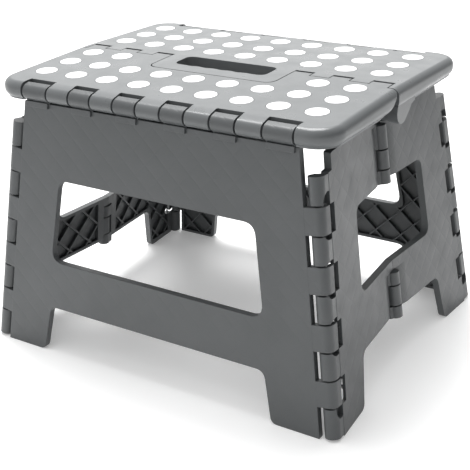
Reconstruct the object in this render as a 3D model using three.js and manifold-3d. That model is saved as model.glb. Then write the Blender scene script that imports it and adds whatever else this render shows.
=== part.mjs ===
// Folding step stool. Units are millimetres, +Z is up, X runs along the long side, and the stool
// stands on z = 0, centred on the Z axis. Front is -Y. The rear half of the top is the fixed body.
import * as THREE from "three";
import { mergeVertices } from "three/addons/utils/BufferGeometryUtils.js";
import Module from "manifold-3d";

const wasm = await Module();
wasm.setup();

// Driving dimensions
const HEIGHT = 220; // floor to the ridge of the tread
const TOP_HALF_LENGTH = 145; // half the length of the top
const TOP_HALF_WIDTH = 110.2; // half the width of the top, over the hinge barrels
const TOP_CORNER = 20; // plan radius of the top's corners
const CROWN = 0.0225; // fall of each half of the tread, away from the ridge
const RIM_BOTTOM = 204; // lower edge of the rim
const RIM_ROLL = 6; // radius of the rim's rounded shoulder
const RIM_LIP = 2.7; // how far the rim's lower lip stands back from its bulge
const RIM_WALL = 2.6;
const RIM_RISE = { from: 38, rise: 6.9 }; // the front half's rim rises towards the ridge at both ends
const SKIN = 3; // thickness of the tread
const GAP = 0.35; // air between neighbouring knuckles
const BEYOND = 200; // a reach past the top's outline, for cuts that run right through it

const EDGE_AXIS = { y: 104, z: 210.3 }; // hinge between the top and a leg panel
const BARREL = 6.2; // outer radius of the edge hinge
const EDGE_STOPS = [10.3, 31, 51.6, 72.2, 92.9, 117]; // where hooks and rod segments change over
const ROD = 2.5; // radius of the moulded rods that the hooks snap over
const BORE = 2.95; // inner radius of a hook
const SNAP = 2.2; // half the width of a hook's mouth
const SLOT_BACK = 96.8; // rear wall of the slots behind the edge hooks

const RIDGE_Z = 198.9; // axis of the hinge between the two halves of the top
const RIDGE_KNUCKLE = 6;
const RIDGE_STOPS = [56, 71.6, 87.6, 104, 119.7, 136]; // front fingers lie between each pair
const FINGER = 4.6; // how far the two halves' edges stand back from the ridge line
const FINGER_TIP = 1; // how far past the ridge line a front finger reaches
const TONGUE = { radius: 6.6, side: [13.4, 199.6], root: [19.4, 203.4], step: 0.6 };
const RIDGE_PIN = 2;
const RIDGE_BORE = 2.3;

const LOOP = { half: 55.6, front: 32.6, corner: 8, depth: 12.5 }; // the carrying loop
const SLOT = { half: 41, front: 18.6, back: 4.3, corner: 7 }; // hand hole in the loop
const DOT = { radius: 8.4, pitch: 29.64, rows: [22.06, 50.38, 78.7], proud: 0.25, depth: 1.7 };
const DOT_SHIFT = { x: -2.6, y: 3.3 }; // the dot grid sits a little off the top's centre
const DOT_GAP = 0.3;

const LEG = { face: 127.85, lean: 0.1104, half: 145.9, taper: 0.1337, thick: 5.6 };
const LEG_TOP = 202.9;
const FOOT_CORNER = 6;
const LEG_WINDOW = { low: 77.8, high: 145.2, lowHalf: 97, taper: 0.15, corner: 10 };
const LEG_ARCH = { top: 38.9, foot: 106.8, taper: 0.2, corner: 8 };

const CORNER_AXIS = { x: 153.9, y: 121.8 }; // at the floor
const CORNER_KNUCKLE = 5.9;
const CORNER_FIRST = 23.8; // height of the lowest change from knuckle to hook
const CORNER_PITCH = 20.15;
const HOOK_NECK = 9; // reach of a corner hook into the leg plate
const END_AXIS_OFFSET = 6; // from the corner axis to the end hinge, across the plate
const END_FOLD_IN = 4.25; // degrees each end plate leans into the shallow V
const PLATE = { inner: 0.25, outer: 5.75, from: 6.6 }; // end plate, measured from the corner axis
const END_TOP = 196.4;
const END_STEP = 5.5; // how far the plate's edge stands back above its top knuckle
const END_MEET = 0.4; // half the slit between two end plates
const WEB_INSET = 0.3; // how far the webs of hooks and knuckles lie inside their plate's faces
const END_WINDOW = { low: 83, high: 147, lowHalf: 61, taper: 0.07, corner: 8 };
const END_ARCH = { top: 41.5, foot: 77.5, taper: 0.2, corner: 8 };
const END_KNUCKLE = 5.6;
const END_NOTCH = 6.5; // the plates stop this far from the end hinge beside its knuckles
const UPPER_STOPS = [144.4, 155.8, 170.9, 189.6];
const LOWER_STOPS = [36, 46.6, 63.5, 74.6];

// Facets, all round unless a section is said to be part of a circle
const SIDES = 12;
const ROD_SIDES = 8;
const DOT_SIDES = 8;
const CORNER_STEPS = 4;
const QUARTER = Math.PI / 2;

const plastic = new THREE.MeshStandardMaterial({ color: 0x6e7476, roughness: 0.45, metalness: 0 });
const treadPlastic = new THREE.MeshStandardMaterial({ color: 0xa2a6a8, roughness: 0.42, metalness: 0 });
const dotRubber = new THREE.MeshStandardMaterial({ color: 0xf7f7f5, roughness: 0.6, metalness: 0 });
const steel = new THREE.MeshStandardMaterial({ color: 0xb8babd, roughness: 0.3, metalness: 1 });

// A closed three.js geometry as a solid that can be joined and cut.
function solid(geometry) {
  const bare = geometry.index ? geometry : mergeVertices(geometry);
  bare.deleteAttribute("normal");
  bare.deleteAttribute("uv");
  const merged = mergeVertices(bare, 1e-4);
  return new wasm.Manifold(
    new wasm.Mesh({
      numProp: 3,
      vertProperties: new Float32Array(merged.attributes.position.array),
      triVerts: new Uint32Array(merged.index.array),
    }),
  );
}

function namedMesh(name, shape, material) {
  const { vertProperties, triVerts } = shape.getMesh();
  const geometry = new THREE.BufferGeometry();
  geometry.setAttribute("position", new THREE.BufferAttribute(vertProperties, 3));
  geometry.setIndex(new THREE.BufferAttribute(triVerts, 1));
  const mesh = new THREE.Mesh(geometry.toNonIndexed(), material);
  mesh.geometry.computeVertexNormals();
  mesh.name = name;
  return mesh;
}

const join = (shapes) => shapes.reduce((all, next) => all.add(next));

// A flat outline, extruded by depth, with rows saying where its three directions go.
function prism(outline, depth, rowX, rowY, rowZ) {
  const settings = { depth, bevelEnabled: false, curveSegments: CORNER_STEPS };
  const geometry = new THREE.ExtrudeGeometry(outline, settings);
  geometry.applyMatrix4(new THREE.Matrix4().set(...rowX, ...rowY, ...rowZ, 0, 0, 0, 1));
  return solid(geometry);
}

// A (y, z) profile extruded along X.
const alongX = (profile, x0, x1) =>
  prism(profile, x1 - x0, [0, 0, 1, x0], [1, 0, 0, 0], [0, 1, 0, 0]);

// An (x, y) plan extruded upwards.
const upwards = (plan, z0, z1) =>
  prism(plan, z1 - z0, [1, 0, 0, 0], [0, 1, 0, 0], [0, 0, 1, z0]);

const box = (x0, x1, y0, y1, z0, z1) => upwards(rectangle(x0, x1, y0, y1), z0, z1);

const polygon = (points) => new THREE.Shape(points.map(([a, b]) => new THREE.Vector2(a, b)));

const rectangle = (x0, x1, y0, y1) => polygon([[x0, y0], [x1, y0], [x1, y1], [x0, y1]]);

// A closed outline through corners [x, y, radius], with each corner rounded.
function rounded(corners, path = new THREE.Shape()) {
  const at = (i) => corners[(i + corners.length) % corners.length];
  corners.forEach(([x, y, radius = 0], i) => {
    const here = new THREE.Vector2(x, y);
    const back = new THREE.Vector2(at(i - 1)[0], at(i - 1)[1]).sub(here).normalize();
    const ahead = new THREE.Vector2(at(i + 1)[0], at(i + 1)[1]).sub(here).normalize();
    const reach = radius / Math.tan(back.angleTo(ahead) / 2);
    const start = back.multiplyScalar(reach).add(here);
    const end = ahead.multiplyScalar(reach).add(here);
    if (i === 0) path.moveTo(start.x, start.y);
    else path.lineTo(start.x, start.y);
    if (radius > 0) path.quadraticCurveTo(x, y, end.x, end.y);
  });
  path.closePath();
  return path;
}

// Points along an arc; angles are in radians, and turn from the first axis to the second.
function arc(radius, from, to, steps, cx = 0, cy = 0) {
  return Array.from({ length: steps + 1 }, (_, i) => {
    const angle = from + ((to - from) * i) / steps;
    return [cx + radius * Math.cos(angle), cy + radius * Math.sin(angle)];
  });
}

const disc = (radius, cx = 0, cy = 0, sides = SIDES) =>
  polygon(arc(radius, 0, 4 * QUARTER, sides, cx, cy).slice(0, -1));

// The rear half of the top as a slab. Its rim is level up to the bulge, and its shoulder and its upper
// face fall away from the ridge.
function rearSlab() {
  const lip = Math.acos(1 - RIM_LIP / BARREL);
  const lower = arc(BARREL, -lip, 0, 2, 0, EDGE_AXIS.z);
  const upper = arc(RIM_ROLL, 0, QUARTER, 3, 0, HEIGHT - RIM_ROLL);
  return loft([
    topRing(RIM_LIP, RIM_BOTTOM, 0),
    ...lower.map(([reach, z]) => topRing(BARREL - reach, z, 0)),
    ...upper.map(([reach, z]) => topRing(RIM_ROLL - reach, z, CROWN)),
  ]);
}

// The rear half's outline in plan, from the ridge round to the ridge, shrunk by a distance.
function topRing(shrink, z, fall) {
  const cx = TOP_HALF_LENGTH - TOP_CORNER;
  const cy = TOP_HALF_WIDTH - TOP_CORNER;
  const turn = arc(TOP_CORNER - shrink, 0, QUARTER, CORNER_STEPS, cx, cy);
  const right = [[TOP_HALF_LENGTH - shrink, 0], ...turn];
  const left = right.map(([x, y]) => [-x, y]).reverse();
  return [...right, ...left].map(([x, y]) => [x, y, z - fall * y]);
}

// A closed solid through rings with equal numbers of points, capped at both ends.
function loft(rings) {
  const count = rings[0].length;
  const positions = rings.flat(2);
  const index = [];
  for (let r = 0; r + 1 < rings.length; r++)
    for (let i = 0; i < count; i++) {
      const a = r * count + i;
      const b = r * count + ((i + 1) % count);
      index.push(a, b, b + count, a, b + count, a + count);
    }
  const last = (rings.length - 1) * count;
  for (let i = 1; i + 1 < count; i++) index.push(0, i + 1, i, last, last + i, last + i + 1);
  const geometry = new THREE.BufferGeometry();
  geometry.setAttribute("position", new THREE.Float32BufferAttribute(positions, 3));
  geometry.setIndex(index);
  return solid(geometry);
}

// Leans a solid that was made level, so that it falls away from the ridge on one side.
const crowned = (shape, side) =>
  shape.transform([1, 0, 0, 0, 0, 1, -side * CROWN, 0, 0, 0, 1, 0, 0, 0, 0, 1]);

// ---- Top ----------------------------------------------------------------------------------

// Both halves together: a shallow roof with its ridge along X.
function wholeTop() {
  const rear = rearSlab();
  return rear.add(rear.rotate([0, 0, 180]));
}

// Corner points of the boundary between the halves for x > 0, from the end to the middle. It runs
// along the ridge line at `edge`, out to `tip` round each front finger, and round the loop.
function ridgeBoundary(edge, tip, gap) {
  const points = [[BEYOND, edge]];
  for (let i = RIDGE_STOPS.length - 2; i >= 0; i -= 2) {
    const [inner, outer] = [RIDGE_STOPS[i] + gap, RIDGE_STOPS[i + 1] - gap];
    points.push([outer, edge], [outer, tip], [inner, tip]);
    if (i > 0) points.push([inner, edge]);
  }
  const [half, front] = [LOOP.half + GAP / 2 + gap, LOOP.front + GAP / 2 + gap];
  points.push(...arc(LOOP.corner, 0, -QUARTER, CORNER_STEPS, half - LOOP.corner, LOOP.corner - front));
  return points;
}

// Each half's share of the top in plan; side is -1 for the front.
function plan(side) {
  const gap = (-side * GAP) / 2;
  const right = ridgeBoundary(-FINGER - gap, side < 0 ? FINGER_TIP : FINGER, gap);
  const left = right.map(([x, y]) => [-x, y]).reverse();
  return polygon([...right, ...left, [-BEYOND, BEYOND * side], [BEYOND, BEYOND * side]]);
}

// The hollow under one half's tread, open below.
function hollow(side) {
  const ends = [side * (FINGER + RIM_WALL), side * (SLOT_BACK - RIM_WALL)].sort((p, q) => p - q);
  const half = TOP_HALF_LENGTH - RIM_LIP - RIM_WALL;
  return crowned(box(-half, half, ...ends, RIM_BOTTOM - 10, HEIGHT - SKIN), side);
}

// One tooth between two edge hooks: the tread runs out over a barrel that the rod passes through.
function edgeTooth(side, x0, x1) {
  const { y, z } = EDGE_AXIS;
  const surface = (reach) => HEIGHT - CROWN * reach;
  const back = SLOT_BACK - RIM_WALL;
  const barrel = arc(BARREL, QUARTER, -QUARTER, 6, y, z);
  const under = z - BARREL + 0.6;
  const crest = y - 5;
  const above = [[back, surface(back)], [crest, surface(crest)]];
  const outline = [...above, ...barrel, [y - 4, under], [back, under]];
  const faced = side < 0 ? outline.map(([a, b]) => [-a, b]) : outline.reverse();
  return alongX(polygon(faced), x0, x1);
}

// Everything along the outer edge of one half: teeth, over a rod that runs through every slot.
function edgeHinge(side) {
  const { y, z } = EDGE_AXIS;
  const end = EDGE_STOPS.at(-1) + 3;
  const parts = [alongX(disc(ROD, side * y, z, ROD_SIDES), -end, end)];
  parts.push(edgeTooth(side, -EDGE_STOPS[0] + GAP / 2, EDGE_STOPS[0] - GAP / 2));
  for (let i = 1; i + 1 < EDGE_STOPS.length; i += 2) {
    const [inner, outer] = [EDGE_STOPS[i] + GAP / 2, EDGE_STOPS[i + 1] - GAP / 2];
    parts.push(edgeTooth(side, inner, outer), edgeTooth(side, -outer, -inner));
  }
  return join(parts);
}

// The room taken out of one half's edge for the whole row of hooks.
function edgeRoom(side) {
  const half = EDGE_STOPS.at(-1) + GAP / 2;
  const ends = [side * SLOT_BACK, side * (TOP_HALF_WIDTH + 5)].sort((p, q) => p - q);
  return box(-half, half, ...ends, RIM_BOTTOM - 10, HEIGHT + 5);
}

// A knuckle of the ridge hinge with the web that hangs it from its own half's tread.
function ridgeKnuckle(side, x0, x1) {
  const top = HEIGHT - 1;
  const reach = side < 0 ? FINGER_TIP : -FINGER + GAP / 2;
  const bend = Math.acos(reach / RIDGE_KNUCKLE);
  const section = side < 0
    ? [...arc(RIDGE_KNUCKLE, -2 * QUARTER, bend, 8, 0, RIDGE_Z), [reach, top], [-RIDGE_KNUCKLE, top]]
    : [...arc(RIDGE_KNUCKLE, bend, 4 * QUARTER, 8, 0, RIDGE_Z), [RIDGE_KNUCKLE, top], [reach, top]];
  return alongX(polygon(section), x0, x1);
}

// The rear half's outermost knuckles are tongues, which reach back under the rim at both ends.
function ridgeTongue() {
  const start = RIDGE_STOPS.at(-1) + GAP / 2;
  const front = -FINGER + GAP / 2;
  const { radius, side, root, step } = TONGUE;
  const round = arc(radius, Math.acos(front / radius), 3.49 * QUARTER, 8, 0, RIDGE_Z);
  const below = [...round, side, root, [root[0], EDGE_AXIS.z], [front, EDGE_AXIS.z]];
  const above = rectangle(front, RIDGE_KNUCKLE, RIDGE_Z + 8, HEIGHT - 1);
  const tongue = alongX(polygon(below), start, TOP_HALF_LENGTH - step);
  return tongue.add(alongX(above, start, TOP_HALF_LENGTH - RIM_ROLL));
}

function ridgeKnuckles(side) {
  const stops = side < 0 ? RIDGE_STOPS : RIDGE_STOPS.slice(1, -1);
  const parts = side < 0 ? [] : [ridgeTongue(), ridgeTongue().mirror([1, 0, 0])];
  for (let i = 0; i + 1 < stops.length; i += 2) {
    const [inner, outer] = [stops[i] + GAP / 2, stops[i + 1] - GAP / 2];
    parts.push(ridgeKnuckle(side, inner, outer), ridgeKnuckle(side, -outer, -inner));
  }
  return join(parts);
}

// What the front half's rim loses at its right end, over the rear half's tongue.
function rimRise() {
  const { from, rise } = RIM_RISE;
  const low = RIM_BOTTOM - 1;
  const profile = polygon([[-from, low], [1, low], [1, RIM_BOTTOM + rise], [-from, RIM_BOTTOM]]);
  return alongX(profile, RIDGE_STOPS.at(-1) + GAP, TOP_HALF_LENGTH + 5);
}

// The rods' holes at the ridge are blind: they end inside the outermost knuckles.
function ridgeBores() {
  const [start, end] = [RIDGE_STOPS[0] - 3, RIDGE_STOPS.at(-1) + 3.4];
  const bore = disc(RIDGE_BORE, 0, RIDGE_Z, ROD_SIDES);
  return alongX(bore, start, end).add(alongX(bore, -end, -start));
}

function ridgePin(side) {
  const [start, end] = [RIDGE_STOPS[0] + 1, RIDGE_STOPS.at(-1) + 3];
  const section = disc(RIDGE_PIN, 0, RIDGE_Z, ROD_SIDES);
  return side > 0 ? alongX(section, start, end) : alongX(section, -end, -start);
}

// The slab of the carrying loop, as far back as the rear half's own wall.
function loopSlab() {
  const { half, front, corner, depth } = LOOP;
  const back = 12;
  const outline = rounded([[-half, -front, corner], [half, -front, corner], [half, back], [-half, back]]);
  return upwards(outline, HEIGHT - depth, HEIGHT - SKIN / 2);
}

function handHole() {
  const { half, front, back, corner } = SLOT;
  const corners = [[-half, -front], [half, -front], [half, back], [-half, back]];
  return upwards(rounded(corners.map(([x, y]) => [x, y, corner])), RIM_BOTTOM - 10, HEIGHT + 5);
}

// Centres of the dots on one half; the carrying loop takes the place of five in the first front row.
function dotCentres(side) {
  const onTop = (column, row) => side > 0 || row > 0 || Math.abs(column) > 2;
  const columns = [-4, -3, -2, -1, 0, 1, 2, 3, 4];
  return DOT.rows.flatMap((reach, row) =>
    columns
      .filter((column) => onTop(column, row))
      .map((column) => [column * DOT.pitch + DOT_SHIFT.x, side * reach + DOT_SHIFT.y]),
  );
}

const dotSolid = ([x, y], side, radius, low, high) =>
  crowned(upwards(disc(radius, x, y, DOT_SIDES), HEIGHT + low, HEIGHT + high), side);

const dotPocket = (centre, side) =>
  dotSolid(centre, side, DOT.radius + DOT_GAP, -DOT.depth - DOT_GAP, 5);

function topPanel(side) {
  const share = upwards(plan(side), RIM_BOTTOM - 20, HEIGHT + 20);
  const cuts = [hollow(side), edgeRoom(side)];
  if (side < 0) cuts.push(rimRise(), rimRise().mirror([1, 0, 0]));
  if (side > 0) cuts.push(box(-BEYOND, BEYOND, -LOOP.front - 1, -FINGER, 0, HEIGHT - LOOP.depth));
  let shape = wholeTop().subtract(join(cuts)).intersect(share);
  if (side > 0) shape = shape.add(loopSlab()).subtract(handHole());
  shape = shape.add(edgeHinge(side)).add(ridgeKnuckles(side));
  return shape.subtract(ridgeBores()).subtract(join(dotCentres(side).map((c) => dotPocket(c, side))));
}

// ---- Leg panels ---------------------------------------------------------------------------

// The front leg panel's outer face is y = -LEG.face + LEG.lean * z, and its edges taper upwards.
const legY = (z) => -LEG.face + LEG.lean * z;

function legPlate() {
  const edge = (z) => LEG.half - LEG.taper * z;
  const archX = (z) => LEG_ARCH.foot - LEG_ARCH.taper * z;
  const right = [
    [archX(LEG_ARCH.top), LEG_ARCH.top, LEG_ARCH.corner],
    [archX(0), 0, FOOT_CORNER],
    [edge(0), 0],
    [edge(LEG_TOP), LEG_TOP],
  ];
  const left = right.map(([x, z, radius]) => [-x, z, radius]).reverse();
  const outline = rounded([...right, ...left]);
  const { low, high, lowHalf, taper, corner } = LEG_WINDOW;
  const highHalf = lowHalf - taper * (high - low);
  const window = [[-lowHalf, low], [lowHalf, low], [highHalf, high], [-highHalf, high]];
  outline.holes.push(rounded(window.map(([x, z]) => [x, z, corner]), new THREE.Path()));
  return prism(outline, LEG.thick, [1, 0, 0, 0], [0, LEG.lean, -1, legY(0) + LEG.thick], [0, 1, 0, 0]);
}

// The arc of a hook's bore, from one side of its mouth to the other; the mouth faces `facing`.
function hookBore(facing, cx = 0, cy = 0) {
  const mouth = Math.asin(SNAP / BORE);
  return arc(BORE, facing + 4 * QUARTER - mouth, facing + mouth, 8, cx, cy);
}

// A hook over the top's rod: its mouth faces into the stool, and a raised lip joins it to the plate.
function edgeHook(x0, x1) {
  const { y, z } = EDGE_AXIS;
  const mouth = Math.asin(SNAP / BARREL);
  const inside = (height) => legY(height) + LEG.thick - WEB_INSET;
  return alongX(
    polygon([
      ...arc(BARREL, mouth, 2.4 * QUARTER, 6, -y, z),
      [legY(z - 9.8) - 1.4, z - 9.8],
      [legY(z - 11.2) + 1, z - 11.2],
      [inside(z - 11.2), z - 11.2],
      ...arc(BARREL, 3.5 * QUARTER, 4 * QUARTER - mouth, 1, -y, z),
      ...hookBore(0, -y, z),
    ]),
    x0,
    x1,
  );
}

function edgeHooks() {
  const parts = [];
  for (let i = 0; i < EDGE_STOPS.length; i += 2) {
    const [inner, outer] = [EDGE_STOPS[i] + GAP / 2, EDGE_STOPS[i + 1] - GAP / 2];
    parts.push(edgeHook(inner, outer), edgeHook(-outer, -inner));
  }
  return join(parts);
}

// Unit vectors of the front-right corner axis: up along it, into the leg plate, and out of the leg.
const axisUp = new THREE.Vector3(-LEG.taper, LEG.lean, 1).normalize();
const legOut = new THREE.Vector3(0, -1, LEG.lean).normalize();
const legIn = new THREE.Vector3().crossVectors(legOut, axisUp).normalize();
const axisFoot = new THREE.Vector3(CORNER_AXIS.x, -CORNER_AXIS.y, 0);
const cornerStop = (i) => CORNER_FIRST + CORNER_PITCH * i;

// An (a, b) section extruded along a slanting axis between two heights.
function alongAxis(section, origin, a, b, up, z0, z1) {
  const start = origin.clone().addScaledVector(up, z0 / up.z);
  const row = (k) => [a[k], b[k], up[k], start[k]];
  return prism(section, (z1 - z0) / up.z, row("x"), row("y"), row("z"));
}

// A hook of a leg panel over an end panel's rod; its mouth faces into the stool.
function cornerHook(z0, z1) {
  const outer = (LEG.face - CORNER_AXIS.y) / Math.hypot(1, LEG.lean) - WEB_INSET;
  const inner = outer - LEG.thick / Math.hypot(1, LEG.lean) + 2 * WEB_INSET;
  const mouth = Math.asin(SNAP / CORNER_KNUCKLE);
  const section = polygon([
    ...arc(CORNER_KNUCKLE, -QUARTER + mouth, 0.05, 3),
    [HOOK_NECK, inner],
    [HOOK_NECK, outer],
    ...arc(CORNER_KNUCKLE, QUARTER, 3 * QUARTER - mouth, 5),
    ...hookBore(-QUARTER),
  ]);
  return alongAxis(section, axisFoot, legIn, legOut, axisUp, z0 + GAP / 2, z1 - GAP / 2);
}

function cornerHooks() {
  const right = join([0, 2, 4, 6].map((i) => cornerHook(cornerStop(i), cornerStop(i + 1))));
  return right.add(right.mirror([1, 0, 0]));
}

const legPanel = () => join([legPlate(), edgeHooks(), cornerHooks()]);

// ---- End panels ---------------------------------------------------------------------------

// The front-right end plate hinges on the corner axis and leans a few degrees into the V.
const flatAlong = new THREE.Vector3(0, 1, 0).addScaledVector(axisUp, -axisUp.y).normalize();
const lean = THREE.MathUtils.degToRad(END_FOLD_IN);
const plateAlong = flatAlong.clone().applyAxisAngle(axisUp, lean);
const plateOut = new THREE.Vector3().crossVectors(plateAlong, axisUp).normalize();
const plateX = (offset) => (axisFoot.dot(plateOut) + offset) / plateOut.x;
const endUp = new THREE.Vector3(-plateOut.z, 0, plateOut.x).normalize();
const endAlong = new THREE.Vector3().crossVectors(endUp, plateOut).normalize();
const endFoot = new THREE.Vector3(plateX(END_AXIS_OFFSET), 0, 0);

// A (y, z) outline as a slice of the leaning plate between two distances from the corner axis.
function inPlate(outline, inner, outer) {
  const slopeY = -plateOut.y / plateOut.x;
  const slopeZ = -plateOut.z / plateOut.x;
  const depth = plateX(outer) - plateX(inner);
  return prism(outline, depth, [slopeY, slopeZ, 1, plateX(inner)], [1, 0, 0, 0], [0, 1, 0, 0]);
}

function endPlate() {
  const edge = (z) => -CORNER_AXIS.y + LEG.lean * z + PLATE.from;
  const archY = (z) => -END_ARCH.foot + END_ARCH.taper * z;
  const windowY = (z) => -END_WINDOW.lowHalf + END_WINDOW.taper * (z - END_WINDOW.low);
  const lowerTop = LOWER_STOPS.at(-1) + 0.7;
  const outline = rounded([
    [edge(0), 0],
    [archY(0), 0, FOOT_CORNER],
    [archY(END_ARCH.top), END_ARCH.top, END_ARCH.corner],
    [-END_NOTCH, END_ARCH.top],
    [-END_NOTCH, lowerTop],
    [-END_MEET, lowerTop],
    [-END_MEET, END_WINDOW.low],
    [windowY(END_WINDOW.low), END_WINDOW.low, END_WINDOW.corner],
    [windowY(END_WINDOW.high), END_WINDOW.high, END_WINDOW.corner],
    [-END_NOTCH, END_WINDOW.high],
    [-END_NOTCH, UPPER_STOPS.at(-1) + 0.5],
    [-22, END_TOP],
    [edge(END_TOP) + END_STEP, END_TOP],
    [edge(cornerStop(8)) + END_STEP, cornerStop(8)],
    [edge(cornerStop(8)), cornerStop(8)],
  ]);
  return inPlate(outline, PLATE.inner, PLATE.outer);
}

// Knuckles beside the leg's hooks, on the rod that runs through all of those hooks.
function cornerKnuckles() {
  const inward = plateOut.clone().negate();
  const make = (section, z0, z1) => alongAxis(section, axisFoot, plateAlong, inward, axisUp, z0, z1);
  const web = [[HOOK_NECK, WEB_INSET - PLATE.outer], [HOOK_NECK, -WEB_INSET - PLATE.inner]];
  const section = polygon([...arc(CORNER_KNUCKLE, 0, 3 * QUARTER, 9), ...web]);
  const parts = [make(disc(ROD, 0, 0, ROD_SIDES), 12, cornerStop(7) + 10)];
  for (let i = -1; i < 8; i += 2) {
    const low = i < 0 ? -2 : cornerStop(i) + GAP / 2;
    parts.push(make(section, low, cornerStop(i + 1) - GAP / 2));
  }
  return join(parts).subtract(box(0, BEYOND, -BEYOND, 0, -20, 0));
}

// Knuckles of the hinge that joins two end plates; which selects the stretches this plate carries.
function endKnuckles(which) {
  const web = -END_NOTCH - 1.5;
  const near = END_AXIS_OFFSET - PLATE.outer + WEB_INSET;
  const far = END_AXIS_OFFSET - PLATE.inner - WEB_INSET;
  const section = polygon([...arc(END_KNUCKLE, 2 * QUARTER, 5 * QUARTER, 9), [web, far], [web, near]]);
  const inward = plateOut.clone().negate();
  const parts = [UPPER_STOPS, LOWER_STOPS].flatMap((stops) =>
    which.map((i) =>
      alongAxis(section, endFoot, endAlong, inward, endUp, stops[i] + GAP / 2, stops[i + 1] - GAP / 2),
    ),
  );
  return join(parts);
}

// The front-right end plate, with the outer two knuckles of each barrel or with the middle one.
const endPanel = (which) => join([endPlate(), cornerKnuckles(), endKnuckles(which)]);

// ---- Assembly -----------------------------------------------------------------------------

const stool = new THREE.Group();
const turned = new THREE.Group(); // everything in it is the front's twin, half a turn round
turned.rotation.z = Math.PI;
stool.add(turned);

const leg = legPanel();
stool.add(namedMesh("front_leg_panel", leg, plastic));
turned.add(namedMesh("rear_leg_panel", leg, plastic));

const outerPair = endPanel([0, 2]);
const middleOne = endPanel([1]).mirror([0, 1, 0]);
stool.add(namedMesh("right_front_end_panel", outerPair, plastic));
stool.add(namedMesh("right_rear_end_panel", middleOne, plastic));
turned.add(namedMesh("left_rear_end_panel", outerPair, plastic));
turned.add(namedMesh("left_front_end_panel", middleOne, plastic));

for (const [name, side] of [["front", -1], ["rear", 1]]) {
  stool.add(namedMesh(`top_${name}_panel`, topPanel(side), treadPlastic));
  dotCentres(side).forEach((centre, i) => {
    const number = String(i + 1).padStart(2, "0");
    const dot = dotSolid(centre, side, DOT.radius, -DOT.depth, DOT.proud);
    stool.add(namedMesh(`${name}_grip_dot_${number}`, dot, dotRubber));
  });
}
stool.add(namedMesh("right_ridge_pin", ridgePin(1), steel));
stool.add(namedMesh("left_ridge_pin", ridgePin(-1), steel));

export default stool;
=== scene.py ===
"""Folding step stool: the fine surface, materials, floor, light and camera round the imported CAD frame.

Shapes are worked out in millimetres, in the frame of the CAD part: +Z up, X along the long side, front
at -Y. They are turned into metres when a Blender mesh is made.
"""

import math
import bmesh
import bpy
from mathutils import Matrix, Vector


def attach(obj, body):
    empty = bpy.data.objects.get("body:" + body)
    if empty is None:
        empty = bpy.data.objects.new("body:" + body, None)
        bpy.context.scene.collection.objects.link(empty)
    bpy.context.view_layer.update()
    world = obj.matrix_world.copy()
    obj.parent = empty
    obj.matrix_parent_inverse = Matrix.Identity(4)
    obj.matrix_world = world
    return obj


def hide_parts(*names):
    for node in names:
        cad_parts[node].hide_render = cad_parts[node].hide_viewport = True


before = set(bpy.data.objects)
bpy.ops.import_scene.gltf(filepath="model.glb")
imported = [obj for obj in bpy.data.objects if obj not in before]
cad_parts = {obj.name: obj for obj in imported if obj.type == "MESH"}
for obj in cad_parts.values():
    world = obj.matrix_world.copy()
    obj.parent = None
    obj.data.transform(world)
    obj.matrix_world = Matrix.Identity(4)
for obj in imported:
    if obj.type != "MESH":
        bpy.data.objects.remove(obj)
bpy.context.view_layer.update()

MM = 0.001

# Dimensions: the CAD part's own, but for seams, hooks, strips and barrels that follow the photo closer
HEIGHT = 220
TOP_HALF_LENGTH = 145
TOP_HALF_WIDTH = 110.2
TOP_CORNER = 20
CROWN = 0.0225
RIM_BOTTOM = 204
RIM_ROLL = 6
RIM_LIP = 2.7
RIM_WALL = 2.6
# How the front half's rim ends at the ridge, as (y, z)
RIM_RISE = [
    (-34, 204), (-27, 205), (-21, 207.2), (-17, 209.8), (-13.8, 212.8), (-11, 216), (-9.3, 218.2), (-8.9, 222)
]
BEYOND = 200  # a reach past the top's outline, for cuts that run right through it
SKIN = 3
EDGE_Y = 104
EDGE_Z = 210.3
BARREL = 6.2
HOOK_REACH = 6.9  # radius of a hook where it faces the slot behind it
EDGE_STOPS = [10.3, 31, 51.6, 72.2, 92.9, 117]
SEAM = 1.1
HOOK_SEAM = 1.8  # wider, beside the hooks along the edge
ROD = 2.5
BORE = 2.95
SNAP = 2.2
SLOT_BACK = 96.8
HOOK_FOOT = 10.5  # from the axis of the edge hinge down to the end of a hook's neck
LIP_PROUD = 2  # how far the strip under a hook stands out of the leg
LIP_LOW = 11.2  # the strip's edges, below the axis of the edge hinge
LIP_HIGH = 6.5
RIDGE_Z = 198.9
RIDGE_KNUCKLE = 6
RIDGE_STOPS = [56, 71.6, 87.6, 104, 119.7, 136]
FINGER = 4.6
FINGER_TIP = 1
END_JOG = 3.9  # how much further forward the seam runs outside the last finger
TONGUE_RADIUS = 9.6
TONGUE_CENTRE = (0.4, 201.9)
TONGUE_ROOT = [(12.8, 199.6), (15.4, 202.8), (21.5, 204.2)]
LOOP_HALF = 55.6
LOOP_FRONT = 32.6
LOOP_CORNER = 8
LOOP_DEPTH = 12.5
SLOT_HALF = 41
SLOT_FRONT = 18.6
SLOT_END = 4.3
SLOT_CORNER = 7
SCALLOP_PITCH = 14.4
SCALLOP_DEPTH = 0.5
SCALLOP_REACH = 29
DOT_RADIUS = 8.4
DOT_RING = 0.28
DOT_PITCH = 29.64
DOT_ROWS = [22.06, 50.38, 78.7]
DOT_SHIFT = (-2.6, 3.3)
DOT_PROUD = 0.2
DOT_DEPTH = 1.2
LEG_FACE = 127.85
LEG_LEAN = 0.1104
LEG_HALF = 145.9
LEG_TAPER = 0.1337
LEG_THICK = 5.6
LEG_TOP = 202.9
FOOT_CORNER = 6
ARCH_TAPER = 0.2
ARCH_CORNER = 8
LEG_ARCH_TOP = 38.9
LEG_ARCH_HALF = 106.8
LEG_WINDOW_LOW = 77.8
LEG_WINDOW_HIGH = 145.2
LEG_WINDOW_HALF = 97
LEG_WINDOW_TAPER = 0.15
LEG_WINDOW_CORNER = 10
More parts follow.
